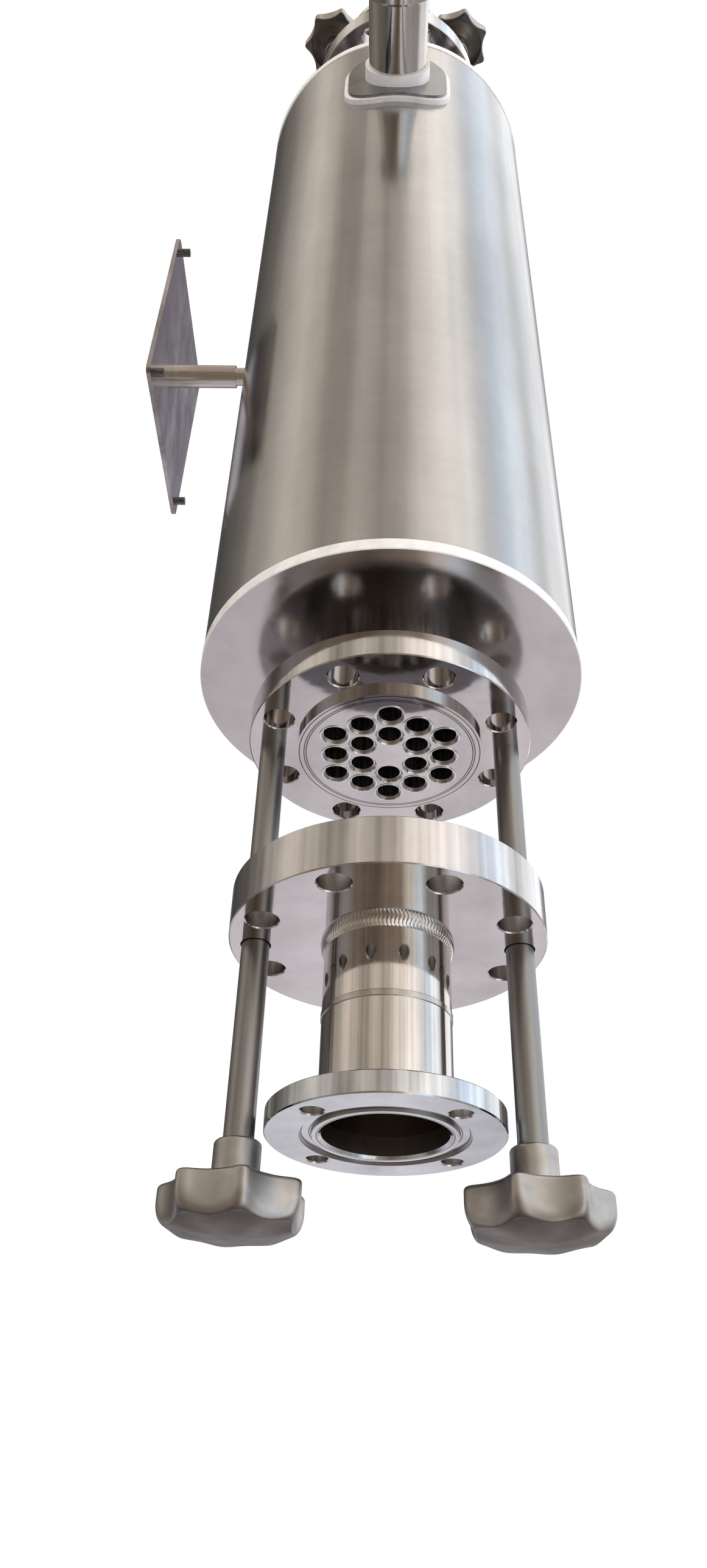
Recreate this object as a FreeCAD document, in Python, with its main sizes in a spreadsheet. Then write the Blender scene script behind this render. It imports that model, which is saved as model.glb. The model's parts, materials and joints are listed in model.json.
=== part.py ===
import FreeCAD, Part
import math
import os
import Sketcher

# A shell and tube heat exchanger standing upright.  Both of its end covers slide
# outward along two guide rods with a star knob at each rod's end.
#
# The frame: the origin is the centre of the outer face of the oblong bracket plate,
# +X points from that face to the exchanger's axis, and +Z points up along the axis.
# Half a turn about a level line through the exchanger's middle, along X, carries its
# lower end onto its upper one, so each end piece is drawn once, with its own +Z
# pointing outward, and is then placed twice.

SIZES = {
    # where the exchanger stands: its jacket from the plate, and its middle above it
    "plate_standoff": 47.7,
    "middle_height": 4.9,
    # jacket, the outer housing
    "jacket_radius": 95.0,
    "jacket_wall": 2.0,
    "jacket_half_length": 275.0,
    "end_plate_thickness": 3.0,
    "rim_weld_height": 6.8,
    "rim_weld_proud": 0.4,
    # tubes and the shell round them
    "tube_rings": 2,
    "tube_radius": 6.35,
    "tube_wall": 0.9,
    "tube_ligament": 2.3,
    "tube_recess": 1.3,
    "shell_margin": 8.5,
    "shell_wall": 2.0,
    "neck_gap": 22.1,
    # tubesheet and its flange
    "tubesheet_flange_thickness": 14.7,
    "spigot_height": 3.7,
    "bolt_land": 4.55,
    "bolt_hole_radius": 7.0,
    "bolt_hole_count": 8,
    "flange_edge": 4.4,
    "edge_bevel": 0.5,
    # sliding cover
    "cover_opening": 85.9,
    "cover_thickness": 21.8,
    "chamber_margin": 4.5,
    "chamber_depth": 6.0,
    "chamber_floor_thickness": 5.0,
    # nozzle on the cover
    "nozzle_length": 81.9,
    "nozzle_bore_radius": 25.0,
    "nozzle_bore_bevel": 1.1,
    "nozzle_pipe_wall": 1.8,
    "nozzle_bolt_land": 7.2,
    "nozzle_bolt_hole_radius": 4.5,
    "nozzle_bolt_hole_count": 4,
    "nozzle_flange_edge": 4.0,
    "nozzle_flange_thickness": 8.8,
    "groove_to_hole_gap": 0.6,
    "face_groove_width": 4.8,
    "face_groove_depth": 1.4,
    "cover_weld_width": 4.6,
    "cover_weld_height": 5.5,
    "seam_distance": 41.0,
    "seam_width": 3.0,
    "seam_proud": 0.35,
    # guide rods and star knobs
    "rod_radius": 6.0,
    "nozzle_rod_gap": 3.4,
    "rod_hole_clearance": 0.6,
    "knob_gap": 3.0,
    "rod_grip": 22.0,
    "knob_bore_clearance": 0.08,
    "knob_bore_end_gap": 2.0,
    "hub_wall": 3.2,
    "hub_height": 16.7,
    "hub_edge": 1.5,
    "knob_radius": 28.9,
    "knob_depth": 17.0,
    "knob_edge": 1.2,
    "knob_rounding": 11.0,
    "dome_height": 1.5,
    "lobe_count": 7,
    "lobe_height": 5.4,
    "scoop_radius": 22.0,
    "cup_rim": 1.5,
    "cup_depth": 5.0,
    "cup_floor_depth": 1.5,
    # nozzles on the shell
    "shell_nozzle_inset": 72.2,
    "shell_nozzle_stub": 57.0,
    "shell_pipe_radius": 19.8,
    "shell_pipe_wall": 1.6,
    "pad_side_margin": 14.2,
    "pad_end_margin": 10.2,
    "pad_corner": 20.0,
    "pad_thickness": 4.7,
    "pad_weld_width": 2.5,
    "pad_weld_thickness": 3.0,
    "pipe_weld_width": 2.4,
    "pipe_weld_height": 6.0,
    "ferrule_lip": 5.4,
    "ferrule_rim": 2.9,
    "ferrule_neck": 6.0,
    "ferrule_length": 21.5,
    # bracket
    "plate_width": 108.0,
    "plate_height": 148.0,
    "plate_thickness": 2.5,
    "plate_corner": 4.0,
    "stud_radius": 2.5,
    "stud_inset": 7.0,
    "stud_length": 6.2,
    "arm_radius": 7.0,
    "arm_spigot_radius": 5.5,
    "arm_spigot_length": 7.0,
}

# Sizes that follow from the sheet, as expressions on it.
AXIS = "(Sizes.jacket_radius + Sizes.plate_standoff)"
TUBE_PITCH = "(2 * Sizes.tube_radius + Sizes.tube_ligament)"
TUBE_BORE = "(Sizes.tube_radius - Sizes.tube_wall)"
TUBE_FIELD = f"(Sizes.tube_rings * {TUBE_PITCH} + Sizes.tube_radius)"
SHELL_RADIUS = f"({TUBE_FIELD} + Sizes.shell_margin)"
CHAMBER_RADIUS = f"({TUBE_FIELD} + Sizes.chamber_margin)"
NOZZLE_PIPE = "(Sizes.nozzle_bore_radius + Sizes.nozzle_pipe_wall)"
NOZZLE_HOLE_INSIDE = f"({NOZZLE_PIPE} + Sizes.nozzle_bolt_land)"
NOZZLE_BOLT_CIRCLE = f"({NOZZLE_HOLE_INSIDE} + Sizes.nozzle_bolt_hole_radius)"
NOZZLE_FLANGE = (f"({NOZZLE_BOLT_CIRCLE} + Sizes.nozzle_bolt_hole_radius"
                 " + Sizes.nozzle_flange_edge)")
GROOVE_OUTSIDE = f"({NOZZLE_HOLE_INSIDE} - Sizes.groove_to_hole_gap)"
GROOVE_INSIDE = f"({GROOVE_OUTSIDE} - Sizes.face_groove_width)"

# The bolts stand clear of the shell and the rods clear of the nozzle flange, so the
# circle that they share is the larger of the two.
BOLTS_PAST_SHELL = f"{SHELL_RADIUS} + Sizes.bolt_land + Sizes.bolt_hole_radius"
RODS_PAST_NOZZLE = f"{NOZZLE_FLANGE} + Sizes.nozzle_rod_gap + Sizes.rod_radius"
BOLT_CIRCLE = f"max({BOLTS_PAST_SHELL}; {RODS_PAST_NOZZLE})"
FLANGE_RADIUS = f"({BOLT_CIRCLE} + Sizes.bolt_hole_radius + Sizes.flange_edge)"

HUB_RADIUS = "(Sizes.rod_radius + Sizes.hub_wall)"
KNOB_VALLEY = "(Sizes.knob_radius - Sizes.lobe_height)"
CUP_RADIUS = f"({KNOB_VALLEY} - Sizes.cup_rim)"
SHELL_NOZZLE_HEIGHT = "(Sizes.jacket_half_length - Sizes.shell_nozzle_inset)"
SHELL_NOZZLE_REACH = "(Sizes.jacket_radius + Sizes.shell_nozzle_stub)"
SHELL_NOZZLE_BORE = "(Sizes.shell_pipe_radius - Sizes.shell_pipe_wall)"
PAD_FACE = "(Sizes.jacket_radius + Sizes.pad_thickness)"

# Distances outward from the exchanger's middle, as expressions on the sheet.
JACKET_END = "Sizes.jacket_half_length"
FLANGE_BACK = JACKET_END + " + Sizes.neck_gap"
FLANGE_FACE = FLANGE_BACK + " + Sizes.tubesheet_flange_thickness"
COVER_INNER = FLANGE_FACE + " + Sizes.cover_opening"
COVER_OUTER = COVER_INNER + " + Sizes.cover_thickness"
NOZZLE_FACE = COVER_OUTER + " + Sizes.nozzle_length"
NOZZLE_FLANGE_BACK = NOZZLE_FACE + " - Sizes.nozzle_flange_thickness"
HUB_END = NOZZLE_FACE + " + Sizes.knob_gap"

ENDS = ("lower", "upper")
SIDES = {"left": -1, "right": 1}
X_AXIS = FreeCAD.Vector(1, 0, 0)
Y_AXIS = FreeCAD.Vector(0, 1, 0)
Z_AXIS = FreeCAD.Vector(0, 0, 1)
NO_TURN = FreeCAD.Rotation()
HALF_TURN = FreeCAD.Rotation(X_AXIS, 180)
SAME = 1e-6

doc = FreeCAD.newDocument("heat_exchanger")
nodes = []


# ---------------------------------------------------------------- document helpers

def make_sheet():
    """The spreadsheet of driving sizes: a name in column A, its value in column B."""
    sheet = doc.addObject("Spreadsheet::Sheet", "Sizes")
    for row, (name, value) in enumerate(SIZES.items(), start=1):
        sheet.set(f"A{row}", name)
        sheet.set(f"B{row}", str(value))
        sheet.setAlias(f"B{row}", name)
    doc.recompute()
    return sheet


def value_of(expression):
    """The present value of an expression on the sheet, as a plain number."""
    result = sheet.evalExpression(expression)
    return float(getattr(result, "Value", result))


def keep(piece, name):
    """Name a finished sub-part, so that it is written as a node."""
    piece.Label = name
    nodes.append(piece)
    return piece


def place(piece, end, height, across=None):
    """Put an end piece on the axis, `height` outward from the middle."""
    sign = "+" if end == "upper" else "-"
    piece.Placement.Rotation = NO_TURN if end == "upper" else HALF_TURN
    shift = f" + ({across})" if across else ""
    piece.setExpression("Placement.Base.x", f"{AXIS}{shift}")
    piece.setExpression("Placement.Base.z", f"Sizes.middle_height {sign} ({height})")


def origin_feature(body, role):
    """The plane or axis of a body's origin that has this role."""
    return [item for item in body.Origin.OriginFeatures if item.Role == role][0]


def new_body(name):
    """An empty PartDesign body."""
    return doc.addObject("PartDesign::Body", name)


def new_sketch(body, role, offset=None):
    """A sketch on one of the body's own origin planes, `offset` along its normal."""
    sketch = body.newObject("Sketcher::SketchObject", body.Name + "_sketch")
    sketch.AttachmentSupport = [(origin_feature(body, role), "")]
    sketch.MapMode = "FlatFace"
    if offset:
        sketch.setExpression("AttachmentOffset.Base.z", offset)
    return sketch


# ---------------------------------------------------------------- sketch helpers

def bind(sketch, constraint, expression):
    """Add a constraint whose value follows an expression on the sheet."""
    index = sketch.addConstraint(constraint)
    sketch.renameConstraint(index, f"size_{index}")
    sketch.setExpression(f"Constraints.size_{index}", expression)


def add_circle(sketch, radius, x="0", y="0"):
    """A circle with its centre at x, y in the sketch."""
    centre = FreeCAD.Vector(value_of(x), value_of(y), 0)
    index = sketch.addGeometry(Part.Circle(centre, Z_AXIS, value_of(radius)))
    bind(sketch, Sketcher.Constraint("Radius", index, value_of(radius)), radius)
    for axis, place_expression, line in (("DistanceX", x, -2), ("DistanceY", y, -1)):
        if place_expression == "0":
            sketch.addConstraint(Sketcher.Constraint("PointOnObject", index, 3, line))
        else:
            constraint = Sketcher.Constraint(axis, -1, 1, index, 3, value_of(place_expression))
            bind(sketch, constraint, place_expression)
    return index


def add_outline(sketch, corners):
    """A closed outline through corners, each a pair of expressions."""
    points = [FreeCAD.Vector(value_of(x), value_of(y), 0) for x, y in corners]
    lines = []
    for start, end in zip(points, points[1:] + points[:1]):
        lines.append(sketch.addGeometry(Part.LineSegment(start, end)))
    for line, following in zip(lines, lines[1:] + lines[:1]):
        sketch.addConstraint(Sketcher.Constraint("Coincident", line, 2, following, 1))
    for line, (x, y) in zip(lines, corners):
        for axis, expression, through in (("DistanceX", x, -2), ("DistanceY", y, -1)):
            if expression == "0":
                sketch.addConstraint(Sketcher.Constraint("PointOnObject", line, 1, through))
            else:
                constraint = Sketcher.Constraint(axis, -1, 1, line, 1, value_of(expression))
                bind(sketch, constraint, expression)


def add_rounded_rectangle(sketch, width, height, corner):
    """A rectangle with round corners, centred on the sketch's origin."""
    half_x = value_of(width) / 2
    half_y = value_of(height) / 2
    radius = value_of(corner)
    quarter = math.pi / 2
    arcs = []
    for turn, (sign_x, sign_y) in enumerate(((1, 1), (-1, 1), (-1, -1), (1, -1))):
        centre = FreeCAD.Vector(sign_x * (half_x - radius), sign_y * (half_y - radius), 0)
        circle = Part.Circle(centre, Z_AXIS, radius)
        arc = Part.ArcOfCircle(circle, turn * quarter, (turn + 1) * quarter)
        arcs.append(sketch.addGeometry(arc))
    lines = []
    for arc, following in zip(arcs, arcs[1:] + arcs[:1]):
        start = sketch.getPoint(arc, 2)
        end = sketch.getPoint(following, 1)
        line = sketch.addGeometry(Part.LineSegment(start, end))
        sketch.addConstraint(Sketcher.Constraint("Tangent", arc, 2, line, 1))
        sketch.addConstraint(Sketcher.Constraint("Tangent", line, 2, following, 1))
        lines.append(line)
    for line, kind in zip(lines, ("Horizontal", "Vertical", "Horizontal", "Vertical")):
        sketch.addConstraint(Sketcher.Constraint(kind, line))
    for arc in arcs[1:]:
        sketch.addConstraint(Sketcher.Constraint("Equal", arcs[0], arc))
    sketch.addConstraint(Sketcher.Constraint("Symmetric", arcs[0], 3, arcs[2], 3, -1, 1))
    bind(sketch, Sketcher.Constraint("Radius", arcs[0], radius), corner)
    bind(sketch, Sketcher.Constraint("DistanceX", lines[1], 1, lines[3], 1, 2 * half_x), width)
    bind(sketch, Sketcher.Constraint("DistanceY", lines[2], 1, lines[0], 1, 2 * half_y), height)


# ---------------------------------------------------------------- feature helpers

def pad(body, sketch, length):
    """Pad a sketch along its normal."""
    feature = body.newObject("PartDesign::Pad", body.Name + "_pad")
    feature.Profile = sketch
    feature.setExpression("Length", length)
    doc.recompute()
    return feature


def turn_profile(body, corners):
    """Revolve an outline of (radius, height) corners about the body's Z axis."""
    sketch = new_sketch(body, "XZ_Plane")
    add_outline(sketch, corners)
    feature = body.newObject("PartDesign::Revolution", body.Name + "_turned")
    feature.Profile = sketch
    feature.ReferenceAxis = (sketch, ["V_Axis"])
    feature.Angle = 360
    doc.recompute()
    return feature


def drill(body, sketch, depth=None):
    """Pocket a sketch, `depth` against its normal, or right through both ways."""
    before = body.Shape.Volume
    feature = body.newObject("PartDesign::Pocket", body.Name + "_pocket")
    feature.Profile = sketch
    if depth:
        feature.setExpression("Length", depth)
    else:
        feature.Type = "ThroughAll"
        feature.Midplane = True
    doc.recompute()
    if not body.Shape.Volume < before:
        raise RuntimeError(f"the pocket in {body.Label} cuts nothing")
    return feature


def repeat_round_axis(body, feature, count):
    """Repeat a pocket in a full circle about the body's Z axis."""
    pattern = body.newObject("PartDesign::PolarPattern", body.Name + "_pattern")
    pattern.Originals = [feature]
    pattern.Axis = (origin_feature(body, "Z_Axis"), [""])
    pattern.Angle = 360
    pattern.setExpression("Occurrences", count)
    body.Tip = pattern
    doc.recompute()
    return pattern


def bolt_circle(body, hole_radius, circle_radius, count):
    """Through holes on a circle, the first half a step round from the X axis."""
    sketch = new_sketch(body, "XY_Plane")
    half_step = f"180deg / {count}"
    x = f"{circle_radius} * cos({half_step})"
    y = f"{circle_radius} * sin({half_step})"
    add_circle(sketch, hole_radius, x, y)
    return repeat_round_axis(body, drill(body, sketch), count)


def round_edges(feature, radius):
    """The full circles of this radius among a feature's edges, each with its name."""
    found = []
    for number, edge in enumerate(feature.Shape.Edges, start=1):
        if isinstance(edge.Curve, Part.Circle) and edge.isClosed():
            if abs(edge.Curve.Radius - value_of(radius)) < SAME:
                found.append((f"Edge{number}", edge.Curve.Center.z))
    return found


def bevel(body, radii):
    """Chamfer every round edge of a body that has one of these radii."""
    feature = body.Tip
    edges = [name for radius in radii for name, _ in round_edges(feature, radius)]
    chamfer = body.newObject("PartDesign::Chamfer", body.Name + "_bevel")
    chamfer.Base = (feature, edges)
    chamfer.setExpression("Size", "Sizes.edge_bevel")
    doc.recompute()
    return chamfer


def cylinder(name, radius, length):
    """A Part cylinder on the Z axis."""
    piece = doc.addObject("Part::Cylinder", name)
    piece.setExpression("Radius", radius)
    piece.setExpression("Height", length)
    return piece


def centred_cylinder(name, radius, length):
    """A Part cylinder on the exchanger's axis, centred on its middle."""
    piece = cylinder(name, radius, length)
    piece.setExpression("Placement.Base.x", AXIS)
    piece.setExpression("Placement.Base.z", f"Sizes.middle_height - ({length}) / 2")
    return piece


def cut(name, base, tool):
    """One solid less another."""
    piece = doc.addObject("Part::Cut", name)
    piece.Base = base
    piece.Tool = tool
    return piece


def common(name, base, tool):
    """What two solids share."""
    piece = doc.addObject("Part::Common", name)
    piece.Base = base
    piece.Tool = tool
    return piece


def extrude(name, sketch, length):
    """Solids pushed out of a free sketch along its normal."""
    piece = doc.addObject("Part::Extrusion", name)
    piece.Base = sketch
    piece.DirMode = "Normal"
    piece.Solid = True
    piece.setExpression("LengthFwd", length)
    return piece


def tube_places():
    """Tube centres: a hexagonal field of rings with the middle place left empty."""
    rings = int(value_of("Sizes.tube_rings"))
    places = []
    for column in range(-rings, rings + 1):
        rows = 2 * rings + 1 - abs(column)
        for row in range(rows):
            along = row - (rows - 1) / 2
            if column or along:
                x = f"{column} * {TUBE_PITCH} * cos(30deg)" if column else "0"
                y = f"{along} * {TUBE_PITCH}" if along else "0"
                places.append((x, y))
    return places


# ---------------------------------------------------------------- jacket and shell

def nozzle_axis(piece, side):
    """Lay a Z cylinder along the nozzle's axis: front points to -Y, rear to +Y."""
    front = side == "front"
    piece.Placement.Rotation = FreeCAD.Rotation(X_AXIS, 90 if front else -90)
    piece.setExpression("Placement.Base.x", AXIS)
    sign = "+" if front else "-"
    piece.setExpression("Placement.Base.z", f"Sizes.middle_height {sign} {SHELL_NOZZLE_HEIGHT}")
    return piece


def nozzle_drill(name, radius):
    """A pair of cylinders that opens a hole for both shell nozzles."""
    tools = []
    for side in ("front", "rear"):
        drill_piece = cylinder(f"{name}_{side}_drill", radius, SHELL_NOZZLE_REACH)
        tools.append(nozzle_axis(drill_piece, side))
    both = doc.addObject("Part::MultiFuse", f"{name}_drills")
    both.Shapes = tools
    return both


def make_jacket():
    """The long outer housing, open for both shell nozzles and closed by ring plates."""
    length = "2 * (Sizes.jacket_half_length - Sizes.end_plate_thickness)"
    outer = centred_cylinder("jacket_outside", "Sizes.jacket_radius", length)
    inner = centred_cylinder("jacket_inside", "Sizes.jacket_radius - Sizes.jacket_wall", length)
    tube = cut("jacket_tube", outer, inner)
    drills = nozzle_drill("jacket", "Sizes.shell_pipe_radius")
    keep(cut("jacket_with_holes", tube, drills), "jacket_shell")


def make_end_plate(end):
    """The flat ring that closes one end of the jacket round the shell."""
    body = new_body(f"{end}_end_plate")
    sketch = new_sketch(body, "XY_Plane")
    add_circle(sketch, "Sizes.jacket_radius")
    add_circle(sketch, SHELL_RADIUS)
    pad(body, sketch, "Sizes.end_plate_thickness")
    place(body, end, f"{JACKET_END} - Sizes.end_plate_thickness")
    keep(body, f"{end}_end_plate")


def make_rim_weld(end):
    """The thin pale weld band round the jacket's outer corner."""
    body = new_body(f"{end}_rim_weld")
    inner = "Sizes.jacket_radius"
    outer = "Sizes.jacket_radius + Sizes.rim_weld_proud"
    corners = [
        (inner, "0"),
        (outer, "Sizes.rim_weld_proud"),
        (outer, "Sizes.rim_weld_height - Sizes.rim_weld_proud"),
        (inner, "Sizes.rim_weld_height"),
    ]
    turn_profile(body, corners)
    place(body, end, f"{JACKET_END} - Sizes.rim_weld_height")
    keep(body, f"{end}_rim_weld")


def make_inner_shell():
    """The shell round the tubes, from one tubesheet's back to the other's."""
    length = f"2 * ({FLANGE_BACK})"
    outer = centred_cylinder("shell_outside", SHELL_RADIUS, length)
    inner = centred_cylinder("shell_inside", f"{SHELL_RADIUS} - Sizes.shell_wall", length)
    tube = cut("shell_tube", outer, inner)
    drills = nozzle_drill("shell", SHELL_NOZZLE_BORE)
    keep(cut("shell_with_holes", tube, drills), "inner_shell")


def make_tube_bundle():
    """The field of straight tubes, from end to end."""
    sketch = doc.addObject("Sketcher::SketchObject", "tube_sketch")
    for x, y in tube_places():
        add_circle(sketch, "Sizes.tube_radius", x, y)
        add_circle(sketch, TUBE_BORE, x, y)
    half = f"{FLANGE_FACE} + Sizes.spigot_height - Sizes.tube_recess"
    bundle = extrude("tubes", sketch, f"2 * ({half})")
    bundle.Symmetric = True
    bundle.setExpression("Placement.Base.x", AXIS)
    bundle.setExpression("Placement.Base.z", "Sizes.middle_height")
    keep(bundle, "tube_bundle")


# ---------------------------------------------------------------- tubesheet ends

def make_tubesheet_flange(end):
    """The bolted ring round the tubesheet, which carries the two guide rods."""
    body = new_body(f"{end}_tubesheet_flange")
    sketch = new_sketch(body, "XY_Plane")
    add_circle(sketch, FLANGE_RADIUS)
    add_circle(sketch, SHELL_RADIUS)
    pad(body, sketch, "Sizes.tubesheet_flange_thickness")
    bolt_circle(body, "Sizes.bolt_hole_radius", BOLT_CIRCLE,
                "Sizes.bolt_hole_count")
    bevel(body, [FLANGE_RADIUS, "Sizes.bolt_hole_radius"])
    rod_holes(body, "Sizes.rod_radius")
    place(body, end, FLANGE_BACK)
    keep(body, f"{end}_tubesheet_flange")


def rod_holes(body, radius):
    """Two through holes for the guide rods, one on each side of the axis."""
    sketch = new_sketch(body, "XY_Plane")
    add_circle(sketch, radius, BOLT_CIRCLE)
    add_circle(sketch, radius, f"-1 * {BOLT_CIRCLE}")
    body.Tip = drill(body, sketch)


def make_tubesheet(end):
    """The thick drilled disc that holds the tubes and stands proud of its flange."""
    body = new_body(f"{end}_tubesheet")
    sketch = new_sketch(body, "XY_Plane")
    add_circle(sketch, SHELL_RADIUS)
    pad(body, sketch, "Sizes.tubesheet_flange_thickness + Sizes.spigot_height")
    holes = new_sketch(body, "XY_Plane")
    for x, y in tube_places():
        add_circle(holes, "Sizes.tube_radius", x, y)
    drill(body, holes)
    bevel(body, ["Sizes.tube_radius"])
    place(body, end, FLANGE_BACK)
    keep(body, f"{end}_tubesheet")


# ---------------------------------------------------------------- sliding covers

def make_cover(end):
    """The thick cover that slides on the rods, with a funnel from chamber to bore."""
    body = new_body(f"{end}_cover")
    bore = "Sizes.nozzle_bore_radius"
    corners = [
        (bore, "Sizes.cover_thickness - Sizes.chamber_floor_thickness"),
        (CHAMBER_RADIUS, "Sizes.chamber_depth"),
        (CHAMBER_RADIUS, "0"),
        (FLANGE_RADIUS, "0"),
        (FLANGE_RADIUS, "Sizes.cover_thickness"),
        (bore, "Sizes.cover_thickness"),
    ]
    turn_profile(body, corners)
    bolt_circle(body, "Sizes.bolt_hole_radius", BOLT_CIRCLE,
                "Sizes.bolt_hole_count")
    bevel(body, [FLANGE_RADIUS, "Sizes.bolt_hole_radius"])
    rod_holes(body, "Sizes.rod_radius + Sizes.rod_hole_clearance")
    place(body, end, COVER_INNER)
    keep(body, f"{end}_cover")


def make_cover_weld(end):
    """The weld bead in the corner between the cover and its nozzle."""
    body = new_body(f"{end}_cover_weld")
    pipe = NOZZLE_PIPE
    corners = [
        (pipe, "0"),
        (f"{pipe} + Sizes.cover_weld_width", "0"),
        (f"{pipe} + 0.7 * Sizes.cover_weld_width", "0.6 * Sizes.cover_weld_height"),
        (pipe, "Sizes.cover_weld_height"),
    ]
    turn_profile(body, corners)
    place(body, end, COVER_OUTER)
    keep(body, f"{end}_cover_weld")


def make_nozzle_pipe(end):
    """The straight pipe between the cover and the nozzle flange."""
    length = "Sizes.nozzle_length - Sizes.nozzle_flange_thickness"
    outer = cylinder(f"{end}_pipe_outside", NOZZLE_PIPE, length)
    inner = cylinder(f"{end}_pipe_inside", "Sizes.nozzle_bore_radius", length)
    pipe = cut(f"{end}_pipe", outer, inner)
    place(pipe, end, COVER_OUTER)
    keep(pipe, f"{end}_nozzle_pipe")


def make_pipe_seam(end):
    """The low butt weld round the nozzle pipe."""
    body = new_body(f"{end}_pipe_seam")
    inner = NOZZLE_PIPE
    outer = f"{inner} + Sizes.seam_proud"
    corners = [
        (inner, "0"),
        (outer, "Sizes.seam_proud"),
        (outer, "Sizes.seam_width - Sizes.seam_proud"),
        (inner, "Sizes.seam_width"),
    ]
    turn_profile(body, corners)
    place(body, end, f"{NOZZLE_FLANGE_BACK} - Sizes.seam_distance")
    keep(body, f"{end}_pipe_seam")


def make_nozzle_flange(end):
    """The small bolted flange at the nozzle's end, with a groove round its bore."""
    body = new_body(f"{end}_nozzle_flange")
    bore = "Sizes.nozzle_bore_radius"
    face = "Sizes.nozzle_flange_thickness"
    groove_floor = f"{face} - Sizes.face_groove_depth"
    corners = [
        (bore, "0"),
        (NOZZLE_FLANGE, "0"),
        (NOZZLE_FLANGE, face),
        (GROOVE_OUTSIDE, face),
        (GROOVE_OUTSIDE, groove_floor),
        (GROOVE_INSIDE, groove_floor),
        (GROOVE_INSIDE, face),
        (f"{bore} + Sizes.nozzle_bore_bevel", face),
        (bore, f"{face} - Sizes.nozzle_bore_bevel"),
    ]
    turn_profile(body, corners)
    bolt_circle(body, "Sizes.nozzle_bolt_hole_radius", NOZZLE_BOLT_CIRCLE,
                "Sizes.nozzle_bolt_hole_count")
    bevel(body, [NOZZLE_FLANGE, "Sizes.nozzle_bolt_hole_radius"])
    place(body, end, NOZZLE_FLANGE_BACK)
    keep(body, f"{end}_nozzle_flange")


# ---------------------------------------------------------------- rods and knobs

def make_rod(end, side):
    """A guide rod, from the back of the tubesheet flange into its star knob."""
    length = f"{HUB_END} + Sizes.rod_grip - ({FLANGE_BACK})"
    rod = cylinder(f"{end}_{side}_rod", "Sizes.rod_radius", length)
    place(rod, end, FLANGE_BACK, f"{SIDES[side]} * {BOLT_CIRCLE}")
    keep(rod, f"{end}_{side}_rod")


def make_knob(end, side):
    """A star knob with a round hub, a hollow back, wide scoops and a rounded end."""
    body = new_body(f"{end}_{side}_knob")
    bore = "Sizes.rod_radius + Sizes.knob_bore_clearance"
    bore_end = "Sizes.rod_grip + Sizes.knob_bore_end_gap"
    back = "Sizes.hub_height"
    end_face = "Sizes.hub_height + Sizes.knob_depth"
    corners = [
        ("0", bore_end),
        (bore, bore_end),
        (bore, "0"),
        (f"{HUB_RADIUS} - Sizes.hub_edge", "0"),
        (HUB_RADIUS, "Sizes.hub_edge"),
        (HUB_RADIUS, f"{back} + Sizes.cup_floor_depth"),
        (CUP_RADIUS, f"{back} + Sizes.cup_depth"),
        (CUP_RADIUS, back),
        ("Sizes.knob_radius - Sizes.knob_edge", back),
        ("Sizes.knob_radius", f"{back} + Sizes.knob_edge"),
        ("Sizes.knob_radius", end_face),
        ("0", f"{end_face} + Sizes.dome_height"),
    ]
    turned = turn_profile(body, corners)
    edge, _ = max(round_edges(turned, "Sizes.knob_radius"), key=lambda found: found[1])
    rounding = body.newObject("PartDesign::Fillet", body.Name + "_rounding")
    rounding.Base = (turned, [edge])
    rounding.setExpression("Radius", "Sizes.knob_rounding")
    doc.recompute()
    sketch = new_sketch(body, "XY_Plane")
    add_circle(sketch, "Sizes.scoop_radius", f"{KNOB_VALLEY} + Sizes.scoop_radius")
    repeat_round_axis(body, drill(body, sketch), "Sizes.lobe_count")
    place(body, end, HUB_END, f"{SIDES[side]} * {BOLT_CIRCLE}")
    keep(body, f"{end}_{side}_knob")


# ---------------------------------------------------------------- shell nozzles

def rounded_prism(name, side, grow):
    """A rounded square along the nozzle's axis, `grow` larger on every side."""
    sketch = doc.addObject("Sketcher::SketchObject", f"{name}_sketch")
    half_width = f"(Sizes.shell_pipe_radius + Sizes.pad_side_margin + {grow})"
    half_height = f"(Sizes.shell_pipe_radius + Sizes.pad_end_margin + {grow})"
    add_rounded_rectangle(sketch, f"2 * {half_width}", f"2 * {half_height}",
                          f"Sizes.pad_corner + {grow}")
    return nozzle_axis(extrude(name, sketch, SHELL_NOZZLE_REACH), side)


def curved_plate(name, thickness):
    """A ring of the jacket's outer surface, `thickness` thick, as tall as the jacket."""
    length = "2 * Sizes.jacket_half_length"
    outside = centred_cylinder(f"{name}_outside", f"Sizes.jacket_radius + {thickness}", length)
    inside = centred_cylinder(f"{name}_inside", "Sizes.jacket_radius", length)
    return cut(f"{name}_ring", outside, inside)


def make_nozzle_pad(side):
    """The curved reinforcing pad that lies on the jacket round the nozzle."""
    name = f"{side}_nozzle_pad"
    blank = common(f"{name}_blank", curved_plate(name, "Sizes.pad_thickness"),
                   rounded_prism(f"{name}_prism", side, "0"))
    drill_hole = nozzle_axis(cylinder(f"{name}_drill", "Sizes.shell_pipe_radius",
                                      SHELL_NOZZLE_REACH), side)
    keep(cut(name, blank, drill_hole), name)


def make_pad_weld(side):
    """The pale weld bead round the pad's edge."""
    name = f"{side}_pad_weld"
    outline = cut(f"{name}_outline",
                  rounded_prism(f"{name}_outer", side, "Sizes.pad_weld_width"),
                  rounded_prism(f"{name}_inner", side, "0"))
    keep(common(name, curved_plate(name, "Sizes.pad_weld_thickness"), outline), name)


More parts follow.
